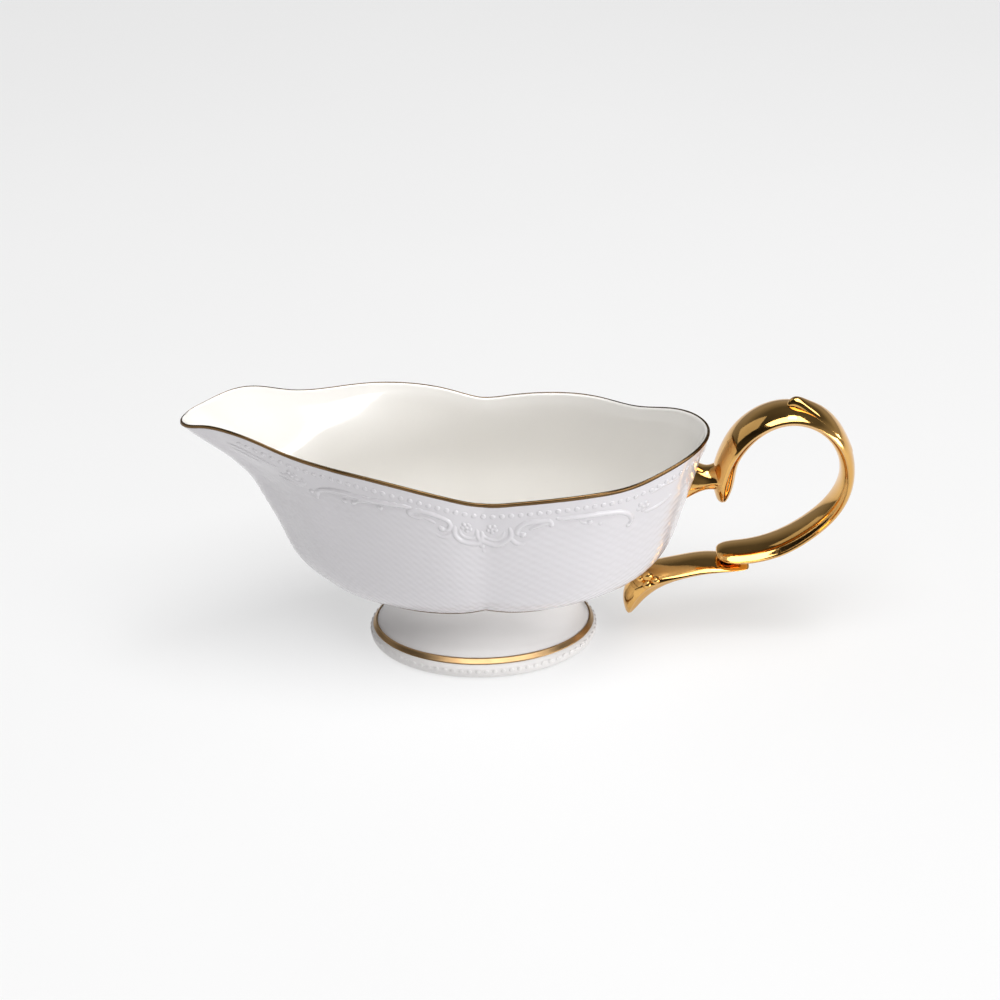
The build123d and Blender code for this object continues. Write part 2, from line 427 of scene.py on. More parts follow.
def draw_up(name, levels, sides, fill):
    """An oval extruded and resized from level to level: height, half length, half width."""
    height, length, width = levels[0]
    deselect_all()
    bpy.ops.mesh.primitive_circle_add(vertices=sides, radius=MM, fill_type=fill,
                                      location=(0, 0, height * MM))
    piece = name_piece(name)
    bpy.ops.object.mode_set(mode="EDIT")
    bpy.ops.mesh.select_all(action="SELECT")
    bpy.ops.transform.resize(value=(length, width, 1), center_override=(0, 0, height * MM))
    for level, next_level in zip(levels, levels[1:]):
        bpy.ops.mesh.extrude_region_move(
            TRANSFORM_OT_translate={"value": (0, 0, (next_level[0] - level[0]) * MM)})
        bpy.ops.transform.resize(value=(next_level[1] / level[1], next_level[2] / level[2], 1),
                                 center_override=(0, 0, next_level[0] * MM))
    bpy.ops.object.mode_set(mode="OBJECT")
    return settle(piece)


def make_foot():
    """Drawn from inside the recess, round the lip and up the stem."""
    foot = draw_up("foot_body", FOOT_LEVELS, FOOT_SIDES, "NGON")
    apply_modifier(foot, "Smooth", "SUBSURF", levels=FOOT_SMOOTHING, render_levels=FOOT_SMOOTHING)
    return settle(foot)


def make_foot_gilding():
    band = draw_up("foot_gold_band", FOOT_BAND_LEVELS, FOOT_BAND_SIDES, "NOTHING")
    apply_modifier(band, "Thickness", "SOLIDIFY", thickness=FOOT_BAND_THICKNESS * MM, offset=-1.0)
    return settle(band)


# ------------------------------------------------------------ beads
BEAD_FLATNESS = 0.28


def set_out(model, spots):
    """Copies the model to every place, facing and size, each copy with its own mesh, as one piece."""
    name = model.name
    deselect_all()
    copies = []
    for place, facing, size in spots:
        copy = bpy.data.objects.new(name, model.data.copy())
        bpy.context.collection.objects.link(copy)
        copy.location = Vector(place) * MM
        copy.rotation_euler = Vector(facing).to_track_quat("Z", "Y").to_euler()
        copy.scale = (size, size, size)
        copies.append(copy)
    bpy.data.objects.remove(model)
    for copy in copies:
        copy.select_set(True)
    bpy.context.view_layer.objects.active = copies[0]
    bpy.ops.object.join()
    return settle(name_piece(name))


def bead_row(name, places, normals, radius):
    """One flattened bead, copied to every place with its flat side on the wall."""
    deselect_all()
    bpy.ops.mesh.primitive_uv_sphere_add(segments=12, ring_count=8, radius=MM)
    bead = name_piece(name)
    bead.scale = (1, 1, BEAD_FLATNESS)
    bpy.ops.object.transform_apply(location=False, rotation=False, scale=True)
    return set_out(bead, [(place, normal, radius) for place, normal in zip(places, normals)])


def spread_round(ring, normals, pitch):
    """Places at an even pitch round a closed ring, with the normal at each."""
    closed = np.vstack([ring, ring[:1]])
    facing = np.vstack([normals, normals[:1]])
    place = np.concatenate([[0], np.cumsum(np.linalg.norm(np.diff(closed, axis=0), axis=1))])
    count = round(place[-1] / pitch)
    at = np.arange(count) * place[-1] / count
    spots = np.stack([np.interp(at, place, closed[:, axis]) for axis in range(3)], axis=1)
    faces = np.stack([np.interp(at, place, facing[:, axis]) for axis in range(3)], axis=1)
    return spots, faces


RIM_BEAD_DROP = 5.0
RIM_BEAD_RADIUS = 1.0
RIM_BEAD_PITCH = 3.2
RIM_BEAD_FRONT = -84
RIM_BEAD_LEAN = 1        # a ring this much lower shows which way the wall faces at the beads
FOOT_BEAD_RADIUS = 0.9
FOOT_BEAD_PITCH = 3.0
FOOT_BEAD_HEIGHT = 3.3
FOOT_BEAD_OVAL = (40.8, 32.3)
FOOT_BEAD_SINK = 6       # times the slope of the oval, which sinks each bead 0.15 to 0.19
FOOT_BEAD_STEPS = 720


def make_rim_beads(outer):
    ring = row_below(outer, np.full(outer.shape[1], RIM_BEAD_DROP))
    lower = row_below(outer, np.full(outer.shape[1], RIM_BEAD_DROP + RIM_BEAD_LEAN))
    grid = np.array([lower, ring])
    normals = grid_normals(grid)[1]
    spots, faces = spread_round(ring, normals, RIM_BEAD_PITCH)
    keep = spots[:, 0] > RIM_BEAD_FRONT
    return bead_row("rim_beads", spots[keep], faces[keep], RIM_BEAD_RADIUS)


def make_foot_beads():
    length, width = FOOT_BEAD_OVAL
    turn = np.linspace(0, 2 * np.pi, FOOT_BEAD_STEPS, endpoint=False)
    level = np.full(FOOT_BEAD_STEPS, FOOT_BEAD_HEIGHT)
    ring = np.stack([length * np.cos(turn), width * np.sin(turn), level], axis=1)
    normals = np.stack([np.cos(turn) / length, np.sin(turn) / width, np.zeros(FOOT_BEAD_STEPS)], axis=1)
    spots, faces = spread_round(ring, normals, FOOT_BEAD_PITCH)
    return bead_row("foot_beads", spots - faces * FOOT_BEAD_SINK, faces, FOOT_BEAD_RADIUS)


# ------------------------------------------------------------ moulded scrolls on the flanks
# Each line is a list of places (X, drop below the rim), its half width and its height.
LOOP_RIGHT = [(-1.2, 10.9), (-0.6, 14.2), (2.4, 16), (5.8, 16.8), (8.6, 15.4), (10.3, 13.5), (10, 10.2)]
LOOP_LEFT = [(-8.6, 11), (-8.7, 14.3), (-7.1, 16.3), (-4.4, 16.8), (-1, 16.3), (0.4, 14.1), (0.5, 11.6)]
SCROLL_LINES = [
    (LOOP_RIGHT, 0.75, 0.6), (LOOP_LEFT, 0.75, 0.6),
    ([(0.6, 11.6), (1.4, 13.4), (3.3, 14.4), (5.6, 14.6), (7.4, 13.2), (8.2, 11.4)], 0.5, 0.4),
    ([(-7.0, 11.6), (-6.6, 13.6), (-5, 14.6), (-3, 14.5), (-1.5, 13.2), (-1.0, 11.8)], 0.5, 0.4),
    ([(10.3, 14.3), (12, 16.5), (14, 17.2), (15.4, 16.7)], 0.65, 0.5),
    ([(-10, 14.6), (-11.7, 16.2), (-13.8, 16.6), (-15.2, 15.9)], 0.65, 0.5),
    ([(14.4, 13.3), (12.4, 12.5), (13.4, 10.1), (16.9, 8.4), (20.9, 8.3), (24, 9), (24.3, 10.3)], 0.7, 0.6),
    ([(16.8, 11.4), (20.3, 10.2), (23.7, 9.8)], 0.55, 0.45),
    ([(-13.1, 13.3), (-11.1, 13), (-10.3, 10.2), (-13, 8.7), (-17, 8.1), (-21.7, 8.7), (-24.1, 10.3),
      (-22.6, 11.2), (-19.5, 10.6)], 0.7, 0.6),
    ([(-15.2, 11.6), (-18, 10.6), (-20.6, 10)], 0.5, 0.4),
    ([(26.4, 8.1), (37.4, 8.5), (44.3, 8.8), (49.3, 10.3), (51.8, 13.2), (51.8, 15.4), (50.8, 16.7)],
     0.75, 0.85),
    ([(-23.7, 7.7), (-31.7, 8.9), (-39.8, 9.7), (-47.7, 9.8), (-52.3, 10.8), (-55.5, 13.2), (-55.6, 15.8)],
     0.75, 0.85),
    ([(33.8, 10.2), (35.4, 11.4), (37.4, 11.9)], 0.45, 0.4),
    ([(-38.6, 10.8), (-41, 11.5), (-43, 13)], 0.5, 0.4),
    ([(56.8, 13.5), (61.1, 13.7), (66, 12.4)], 0.55, 0.45),
    ([(58.6, 6.4), (63, 5.9), (68.1, 6.6)], 0.5, 0.35),
    ([(-68.7, 13.3), (-64, 13.1), (-59.9, 12.2)], 0.55, 0.45),
    ([(-68.2, 11), (-63.2, 11.6), (-59.8, 10.6), (-60.6, 9.2)], 0.55, 0.45),
    ([(-86.2, 7.2), (-80.3, 8.1), (-74.5, 8.8), (-69.3, 8.6)], 0.6, 0.5),
    ([(-84.6, 9.4), (-79.6, 10.4), (-74.6, 10.9)], 0.5, 0.4),
]
# Round buds and flowers among the lines: X, drop below the rim, radius or size, and a ball's height.
SCROLL_BALLS = [
    (0.4, 17.4, 1.0, 0.5), (1, 19.4, 0.8, 0.4), (14.4, 13.3, 1.2, 0.7), (24.2, 10.4, 0.9, 0.6),
    (-13.1, 13.3, 1.2, 0.7), (50.8, 16.5, 1.0, 0.6), (37.4, 11.6, 1.2, 0.6), (40.9, 12.7, 0.9, 0.5),
    (-34, 11.6, 1.1, 0.6), (-43, 12.8, 1.1, 0.6), (-46.1, 13.2, 1.2, 0.7), (-57.6, 13.8, 0.9, 0.5),
    (-55.8, 15.8, 1.0, 0.6),
]
FLOWERS = [(-4.7, 10.4, 0.9), (3.9, 10.2, 0.9), (56, 10.6, 1.0), (-64.4, 9.8, 1.0)]
FLOWER_HEART = (0.8, 0.65)       # radius and height of its middle, for a flower of size 1
FLOWER_PETAL = (0.85, 0.5)       # and of each petal
PETAL_REACH = 1.55
PETALS = 5
PETAL_TURN = 0.3
LINE_SPREAD = 1.6
LINE_POINTS = 60
LINE_END = 0.55                  # a line's width and height at its ends, as shares of its middle's
LINE_ROUNDNESS = 0.8
RELIEF_STEP = 0.34
RELIEF_SINK = 0.1
RELIEF_THICKNESS = 0.4
RELIEF_X = (-90, 71)
RELIEF_DROP = (3.6, 21.5)
CAST_FROM = 90                   # the wall is found from this far out


def line_height(x, drop, points, half_width, height):
    """A rounded ridge along a smooth line, thinner towards both ends."""
    path = smooth_path(points, LINE_POINTS)
    rise = np.zeros_like(x)
    for k, (px, pd) in enumerate(path):
        share = k / (len(path) - 1)
        taper = LINE_END + (1 - LINE_END) * math.sin(math.pi * share) ** 0.5
        away = ((x - px) ** 2 + (drop - pd) ** 2) / (half_width * LINE_SPREAD * taper) ** 2
        rise = np.maximum(rise, height * taper * np.clip(1 - away, 0, 1) ** LINE_ROUNDNESS)
    return rise


def ball_height(x, drop, middle_x, middle_drop, radius, height):
    away = ((x - middle_x) ** 2 + (drop - middle_drop) ** 2) / radius ** 2
    return height * np.sqrt(np.clip(1 - away, 0, 1))


def flower_height(x, drop, middle_x, middle_drop, size):
    radius, height = FLOWER_HEART
    rise = ball_height(x, drop, middle_x, middle_drop, radius * size, height * size)
    radius, height = FLOWER_PETAL
    for petal in range(PETALS):
        turn = 2 * math.pi * petal / PETALS + PETAL_TURN
        petal_x = middle_x + PETAL_REACH * size * math.cos(turn)
        petal_drop = middle_drop + PETAL_REACH * size * math.sin(turn)
        rise = np.maximum(rise, ball_height(x, drop, petal_x, petal_drop, radius * size, height * size))
    return rise


def relief_height(x, drop):
    rise = np.zeros_like(x)
    for points, half_width, height in SCROLL_LINES:
        rise = np.maximum(rise, line_height(x, drop, points, half_width, height))
    for ball in SCROLL_BALLS:
        rise = np.maximum(rise, ball_height(x, drop, *ball))
    for flower in FLOWERS:
        rise = np.maximum(rise, flower_height(x, drop, *flower))
    return rise


def wall_finder(outer):
    """A search tree over the smooth outer wall, to find the wall at any place on a flank."""
    rows, columns = outer.shape[:2]
    corners = [Vector(point) for point in outer.reshape(-1, 3)]
    faces = []
    for row in range(rows - 1):
        for column in range(columns):
            beside = (column + 1) % columns
            faces.append((row * columns + column, row * columns + beside,
                          (row + 1) * columns + beside, (row + 1) * columns + column))
    return BVHTree.FromPolygons(corners, faces)


def flank_wall(finder, side, x, z):
    """Places on the wall of one flank and the way it faces there, none where there is no wall."""
    spots = np.full((*x.shape, 3), np.nan)
    for place in np.ndindex(x.shape):
        start = Vector((x[place], side * CAST_FROM, z[place]))
        hit = finder.ray_cast(start, Vector((0, -side, 0)))[0]
        if hit is not None and hit.y * side > 0:
            spots[place] = hit
    normal = np.cross(np.gradient(spots, axis=0), np.gradient(spots, axis=1))
    normal /= np.linalg.norm(normal, axis=2, keepdims=True)
    normal *= np.sign(normal[:, :, 1:2]) * side
    return spots, normal


def with_neighbours(near):
    for axis in (0, 1):
        near = near | np.roll(near, 1, axis) | np.roll(near, -1, axis)
    return near


def keep_points(piece, wanted):
    """Deletes every point of the piece that isn't wanted, and points its faces one way."""
    bpy.ops.object.mode_set(mode="EDIT")
    bpy.ops.mesh.select_all(action="DESELECT")
    bpy.ops.object.mode_set(mode="OBJECT")
    for vertex in piece.data.vertices:
        vertex.select = not wanted[vertex.index]
    bpy.ops.object.mode_set(mode="EDIT")
    bpy.ops.mesh.delete(type="VERT")
    bpy.ops.mesh.select_all(action="SELECT")
    bpy.ops.mesh.normals_make_consistent(inside=False)
    bpy.ops.object.mode_set(mode="OBJECT")


def make_flank_scrolls(name, finder, side):
    """The raised scrolls of one flank, as a fine sheet that stands out of the wall only along them."""
    along = np.arange(*RELIEF_X, RELIEF_STEP)
    down = np.arange(*RELIEF_DROP, RELIEF_STEP)
    x, drop = np.meshgrid(along, down, indexing="ij")
    spots, normal = flank_wall(finder, side, x, rim_height(x) - drop)
    rise = relief_height(x, drop)
    sheet = spots + normal * (rise - RELIEF_SINK)[:, :, None]
    known = np.isfinite(sheet).all(axis=2)
    wanted = known & with_neighbours(rise > 0)
    sheet[~known] = 0
    deselect_all()
    bpy.ops.mesh.primitive_grid_add(x_subdivisions=len(down) - 1, y_subdivisions=len(along) - 1, size=1)
    scrolls = name_piece(name)
    scrolls.data.vertices.foreach_set("co", (sheet * MM).reshape(-1))
    keep_points(scrolls, wanted.reshape(-1))
    if scrolls.data.polygons[0].normal.y * side < 0:
        scrolls.data.flip_normals()
    apply_modifier(scrolls, "Thickness", "SOLIDIFY", thickness=RELIEF_THICKNESS * MM, offset=-1.0)
    bpy.ops.object.shade_smooth()
    return scrolls


# ------------------------------------------------------------ handle
LOOP_OUTSIDE = [
    (83.4, 29.0), (91, 28.4), (100.3, 29.6), (109.6, 33.1), (118.8, 39.4), (126.6, 47.7), (131, 57.4),
    (131.4, 67.5), (126.9, 79.6), (117.9, 87.5), (107, 90.1), (96.1, 86.7), (88.6, 80), (84.2, 71.8),
    (81.8, 62), (83.2, 52.6),
]
LOOP_INSIDE = [
    (83.4, 33.4), (91, 33.7), (98.4, 34.8), (106.4, 37.8), (114.8, 43.2), (122, 50.2), (126, 58),
    (126.4, 66.8), (122.7, 76.2), (115.9, 82.2), (108, 83.9), (100.2, 81.2), (94.4, 75.6), (90.5, 68.6),
    (89.3, 60.3), (87.2, 51.8),
]


PATH_POINTS = 600
PLAIN = ((0, 1), (1, 1))         # no swelling from one end to the other
HANDLE_SMOOTHING = 2


def ribbon_stations(outside, inside, widths, count, swell=PLAIN):
    """Stations along a ribbon in the XZ plane: middle, half thickness, lean and half width at each."""
    share = np.linspace(0, 1, count)
    along = np.linspace(0, 1, PATH_POINTS)
    edges = []
    for edge in (outside, inside):
        line = smooth_path(edge, PATH_POINTS)
        edges.append(np.stack([np.interp(share, along, line[:, axis]) for axis in (0, 1)], axis=1))
    middle = (edges[0] + edges[1]) / 2
    across = edges[0] - edges[1]
    half = np.linalg.norm(across, axis=1) / 2 * np.interp(share, *zip(*swell))
    angle = np.arctan2(across[:, 0], across[:, 1])
    width = np.interp(share, *zip(*widths))
    return middle, half, angle, width


# The section across the handle: half width, height over the ridge. A broad crown outside, a ridge
# along each side with a groove under it, and a narrower dome inside.
CROWN = [(1.0, 0.0), (0.92, 0.34), (0.72, 0.68), (0.38, 0.93), (0.0, 1.0)]
DOME = [(0.88, -0.16), (0.80, -0.46), (0.60, -0.78), (0.31, -0.95), (0.0, -1.0)]


def section_ring(half_width, half_height):
    right = [*DOME[::-1], *CROWN]
    left = [(-across, rise) for across, rise in right[-2:0:-1]]
    return [(across * half_width, rise * half_height) for across, rise in [*right, *left]]


def draw_along(name, stations, crease):
    """A section extruded from station to station, turned and resized at each one, then smoothed."""
    middle, half, angle, width = stations
    ring = section_ring(width[0], half[0])
    deselect_all()
    bpy.ops.mesh.primitive_circle_add(vertices=len(ring), radius=MM, fill_type="NGON")
    piece = name_piece(name)
    for vertex, (across, rise) in zip(piece.data.vertices, ring):
        vertex.co = Vector((0, across, rise)) * MM
    here = Vector((middle[0][0], 0, middle[0][1])) * MM
    bpy.ops.object.mode_set(mode="EDIT")
    bpy.ops.mesh.select_all(action="SELECT")
    bpy.ops.transform.rotate(value=-angle[0], orient_axis="Y", center_override=(0, 0, 0))
    bpy.ops.transform.translate(value=here)
    for k in range(1, len(half)):
        spot = Vector((middle[k][0], 0, middle[k][1])) * MM
        bpy.ops.mesh.extrude_region_move(TRANSFORM_OT_translate={"value": spot - here})
        turn = (angle[k] - angle[k - 1] + math.pi) % (2 * math.pi) - math.pi
        bpy.ops.transform.rotate(value=-turn, orient_axis="Y", center_override=spot)
        scale = half[k] / half[k - 1]
        bpy.ops.transform.resize(value=(scale, width[k] / width[k - 1], scale), center_override=spot)
        here = spot
    bpy.ops.mesh.select_all(action="DESELECT")
    bpy.ops.object.mode_set(mode="OBJECT")
    select_ridges(piece, len(ring))
    bpy.ops.object.mode_set(mode="EDIT")
    bpy.ops.transform.edge_crease(value=crease)
    bpy.ops.object.mode_set(mode="OBJECT")
    apply_modifier(piece, "Smooth", "SUBSURF", levels=HANDLE_SMOOTHING, render_levels=HANDLE_SMOOTHING)
    return settle(piece)


def select_ridges(piece, around):
    """Selects the edges that run along the two ridges, where each ring is widest."""
    mesh = piece.data
    widest = {}
    for ring in range(len(mesh.vertices) // around):
        corners = range(ring * around, (ring + 1) * around)
        widest[max(corners, key=lambda corner: mesh.vertices[corner].co.y)] = ring
        widest[min(corners, key=lambda corner: mesh.vertices[corner].co.y)] = ring
    for edge in mesh.edges:
        first, second = edge.vertices
        edge.select = first in widest and second in widest and widest[first] != widest[second]


# Half width of each handle piece along its length: share of the length, half width. The loop's
# thickness also swells and thins along it.
LOOP_WIDTHS = [(0, 4.2), (0.012, 6.4), (0.04, 8.0), (0.15, 8.6), (0.35, 8.2), (0.5, 7.6), (0.62, 8.2),
               (0.75, 9.2), (0.84, 9.2), (0.9, 8.6), (0.95, 7.0), (0.98, 4.8), (1, 2.4)]
LOOP_SWELL = [(0, 0.5), (0.012, 0.85), (0.04, 1.05), (0.5, 1.08), (0.9, 1.1), (0.97, 1.0), (1, 0.8)]

# Stations along each handle piece, and how sharp its two side ridges are, from 0 to 1.
LOOP_MAKING = (60, 0.85)
THUMB_MAKING = (16, 0.6)
NECK_MAKING = (12, 0.8)
LEAF_MAKING = (30, 0.8)


def make_loop():
    count, crease = LOOP_MAKING
    stations = ribbon_stations(LOOP_OUTSIDE, LOOP_INSIDE, LOOP_WIDTHS, count, LOOP_SWELL)
    return draw_along("handle_ribbon", stations, crease)


THUMB_TOP = [(106.8, 89.2), (107.8, 92.0), (109.4, 93.4), (113.6, 92.0), (119.8, 88.4), (126.4, 81.4),
             (131.2, 71)]
THUMB_UNDER = [(107.4, 87.4), (109.4, 87.2), (111.6, 86.6), (115.4, 85.4), (120.4, 81.6), (125.2, 76),
               (129.6, 69.6)]
THUMB_WIDTHS = [(0, 1.0), (0.08, 1.7), (0.2, 3.0), (0.4, 5.4), (0.65, 6.6), (0.85, 5.6), (1, 3.0)]


def make_thumb_leaf():
    count, crease = THUMB_MAKING
    stations = ribbon_stations(THUMB_TOP, THUMB_UNDER, THUMB_WIDTHS, count)
    return draw_along("thumb_leaf_tip", stations, crease)


NECK_TOP = [(75.4, 68.6), (77.2, 67.4), (80.2, 66.2), (84.5, 68.2)]
NECK_UNDER = [(70.6, 52.8), (76.5, 56.6), (81.5, 57.8), (85.6, 56.6)]
NECK_WIDTHS = [(0, 6.2), (0.3, 6.0), (0.6, 5.4), (0.8, 5.8), (1, 7.4)]


def make_neck():
    count, crease = NECK_MAKING
    stations = ribbon_stations(NECK_TOP, NECK_UNDER, NECK_WIDTHS, count)
    return draw_along("handle_bridge", stations, crease)


LEAF_TOP = [(95.6, 26.4), (88.5, 28.4), (82, 29.2), (75.5, 28.9), (68.5, 27.6), (62, 26.6), (56, 24.6),
            (51.8, 19.6), (50.3, 13), (51.4, 7.4)]
LEAF_UNDER = [(95.6, 24.8), (85, 24.6), (76, 23.4), (69, 21.2), (63, 17.8), (60.4, 15.6), (58.2, 13.4),
              (56.4, 11), (54.6, 8.8), (53.4, 6.9)]
LEAF_WIDTHS = [(0, 3.0), (0.05, 5.0), (0.14, 6.8), (0.25, 7.6), (0.45, 7.9), (0.65, 7.8), (0.82, 6.6),
               (0.94, 4.6), (1, 2.2)]


def make_lower_leaf():
    count, crease = LEAF_MAKING
    stations = ribbon_stations(LEAF_TOP, LEAF_UNDER, LEAF_WIDTHS, count)
    return draw_along("lower_leaf_curl", stations, crease)


# Small petals on both edges of the lower leaf, where it meets the bowl: X, Y, Z, radius. Each one
# narrows towards the heart of its cluster.
LEAF_BUDS = [(58.8, 6.4, 25.4, 2.1), (56.4, 5.4, 24.4, 1.9), (61.6, 6.6, 24.0, 1.8), (58.6, 7.0, 22.4, 1.7)]
BUD_HEART = (58.9, 24.0)
# Steps that draw a round bud out to a point: above this height, narrowed to this share, drawn out by this.
BUD_STEPS = [(0.1, 0.8, 0.2), (0.6, 0.7, 0.25), (1.1, 0.5, 0.25)]
BUD_FLATNESS = 0.8
BUD_TUCK = 0.6           # how much each one also leans in towards the leaf


def model_bud():
    """A bud of radius 1, drawn out to a point along +Z and a little flattened."""
    deselect_all()
    bpy.ops.mesh.primitive_uv_sphere_add(segments=20, ring_count=12, radius=MM)
    bud = name_piece("lower_leaf_buds")
    for low, narrowing, reach in BUD_STEPS:
        bpy.ops.object.mode_set(mode="EDIT")
        bpy.ops.mesh.select_all(action="DESELECT")
        bpy.ops.object.mode_set(mode="OBJECT")
        for vertex in bud.data.vertices:
            vertex.select = vertex.co.z > low * MM
        bpy.ops.object.mode_set(mode="EDIT")
        bpy.ops.transform.translate(value=(0, 0, reach * MM))
        bpy.ops.transform.resize(value=(narrowing, narrowing, 1), center_override=(0, 0, 0))
        bpy.ops.object.mode_set(mode="OBJECT")
    bpy.ops.object.mode_set(mode="EDIT")
    bpy.ops.mesh.select_all(action="SELECT")
    bpy.ops.transform.resize(value=(1, BUD_FLATNESS, 1), center_override=(0, 0, 0))
    bpy.ops.object.mode_set(mode="OBJECT")
    return bud


def make_leaf_buds():
    spots = []
    for x, y, z, radius in LEAF_BUDS:
        for side in (-1, 1):
            inwards = (BUD_HEART[0] - x, -BUD_TUCK * side, BUD_HEART[1] - z)
            spots.append(((x, y * side, z), inwards, radius))
    return set_out(model_bud(), spots)


# ------------------------------------------------------------ finishes
# Patterns are given by how many times they repeat in a metre. Relief depths are in millimetres.
NOISE_DETAIL = 3.0
GLAZE_TONE = 22
GLAZE_ROUGHNESS = 60
GLAZE_RELIEF = (160, 0.05)
GLAZE_IOR = 1.52
COAT_ROUGHNESS = 0.04
GOLD_TONE = 90
GOLD_ROUGHNESS = 400
GOLD_RELIEF = (900, 0.01)


def new_material(name):
    material = bpy.data.materials.new(name)
    material.use_nodes = True
    nodes = material.node_tree.nodes
    shader = nodes["Principled BSDF"]
    return material, nodes, material.node_tree.links, shader


def noise(nodes, links, scale):
    place = nodes.new("ShaderNodeTexCoord")
    pattern = nodes.new("ShaderNodeTexNoise")
    pattern.inputs["Scale"].default_value = scale
    pattern.inputs["Detail"].default_value = NOISE_DETAIL
    links.new(place.outputs["Object"], pattern.inputs["Vector"])
    return pattern.outputs["Fac"]


def ramp(nodes, links, source, stops):
    band = nodes.new("ShaderNodeValToRGB")
    elements = band.color_ramp.elements
    for element, (place, colour) in zip(elements, stops):
        element.position = place
        element.color = (*colour, 1)
    links.new(source, band.inputs["Fac"])
    return band.outputs["Color"]


def grey_ramp(nodes, links, source, low, high):
    return ramp(nodes, links, source, [(0.3, (low,) * 3), (0.7, (high,) * 3)])


def bump(nodes, links, shader, scale, depth):
    """Fine unevenness of the surface."""
    relief = nodes.new("ShaderNodeBump")
    relief.inputs["Strength"].default_value = 1.0
    relief.inputs["Distance"].default_value = depth * MM
    links.new(noise(nodes, links, scale), relief.inputs["Height"])
    links.new(relief.outputs["Normal"], shader.inputs["Normal"])


def glazed_porcelain(name, pale, deep, smooth=0.16, rough=0.26, coat=0.6):
    material, nodes, links, shader = new_material(name)
    tone = ramp(nodes, links, noise(nodes, links, GLAZE_TONE), [(0.3, deep), (0.7, pale)])
    sheen = grey_ramp(nodes, links, noise(nodes, links, GLAZE_ROUGHNESS), smooth, rough)
    links.new(tone, shader.inputs["Base Color"])
    links.new(sheen, shader.inputs["Roughness"])
    shader.inputs["IOR"].default_value = GLAZE_IOR
    shader.inputs["Coat Weight"].default_value = coat
    shader.inputs["Coat Roughness"].default_value = COAT_ROUGHNESS
    bump(nodes, links, shader, *GLAZE_RELIEF)
    return material


def gold(name, pale, deep, smooth, rough):
    material, nodes, links, shader = new_material(name)
    tone = ramp(nodes, links, noise(nodes, links, GOLD_TONE), [(0.35, deep), (0.65, pale)])
    sheen = grey_ramp(nodes, links, noise(nodes, links, GOLD_ROUGHNESS), smooth, rough)
    links.new(tone, shader.inputs["Base Color"])
    links.new(sheen, shader.inputs["Roughness"])
    shader.inputs["Metallic"].default_value = 1.0
    bump(nodes, links, shader, *GOLD_RELIEF)
    return material


# ------------------------------------------------------------ camera, light and floor
FLOOR_SIZE = 40
FLOOR_TONE = (3, 0.34, 0.36)     # repeats in a metre, darkest and palest grey
FLOOR_ROUGHNESS = 0.9
FLOOR_GLOW = 0.55
FLOOR_GLOSS = 0.1
# The studio is bright low down and dim overhead, and brighter on its lit side than on the other.
SKY_STOPS = [(0.3, (1, 1, 1)), (0.62, (0.3, 0.3, 0.3))]
LIT_SIDE = (0.4, 0.3, 0)
SIDE_MIDDLE = 0.5
SIDE_STOPS = [(0.1, (0.12, 0.12, 0.12)), (0.7, (1, 1, 1))]
STUDIO_STRENGTH = 0.34
# Softboxes: name, place, size, power.
SOFTBOXES = [
    ("key_softbox", (1.9, -1.1, 0.28), (2.0, 0.5), 22),
    ("top_softbox", (0.15, -0.4, 1.35), (1.5, 1.0), 21),
    ("strip_softbox", (0.35, 0.0, 1.4), (0.6, 0.3), 3),
    ("back_softbox", (-1.1, 0.5, 1.0), (1.2, 1.0), 2),
]
LIGHT_AIM = (0, 0, 0.05)
CAMERA_LIFT = 30                 # degrees above level
CAMERA_REACH = 1.05
CAMERA_AIM = (0.00695, 0.00413, 0.05216)
CAMERA_ROLL = -1.3               # degrees
CAMERA_LENS = 106.6
CAMERA_SENSOR = 36


def area_light(name, place, size, power):
    deselect_all()
    bpy.ops.object.light_add(type="AREA", location=place)
    lamp = bpy.context.object
    lamp.name = name
    lamp.data.shape = "RECTANGLE"
    lamp.data.size, lamp.data.size_y = size
    lamp.data.energy = power
    lamp.rotation_euler = (Vector(LIGHT_AIM) - Vector(place)).to_track_quat("-Z", "Y").to_euler()


def make_floor():
    deselect_all()
    bpy.ops.mesh.primitive_plane_add(size=FLOOR_SIZE, location=(0, 0, 0))
    floor = name_piece("studio_floor")
    material, nodes, links, shader = new_material("pale_floor")
    scale, dark, pale = FLOOR_TONE
    tone = grey_ramp(nodes, links, noise(nodes, links, scale), dark, pale)
    links.new(tone, shader.inputs["Base Color"])
    shader.inputs["Roughness"].default_value = FLOOR_ROUGHNESS
    shader.inputs["Emission Color"].default_value = (1, 1, 1, 1)
    shader.inputs["Emission Strength"].default_value = FLOOR_GLOW
    shader.inputs["Specular IOR Level"].default_value = FLOOR_GLOSS
    floor.data.materials.append(material)


def side_shade(nodes, links, way):
    """Bright towards the lit side, dim away from it."""
    side = nodes.new("ShaderNodeVectorMath")
    side.operation = "DOT_PRODUCT"
    side.inputs[1].default_value = LIT_SIDE
    links.new(way, side.inputs[0])
    centred = nodes.new("ShaderNodeMath")
    centred.operation = "ADD"
    centred.inputs[1].default_value = SIDE_MIDDLE
    links.new(side.outputs["Value"], centred.inputs[0])
    return ramp(nodes, links, centred.outputs["Value"], SIDE_STOPS)


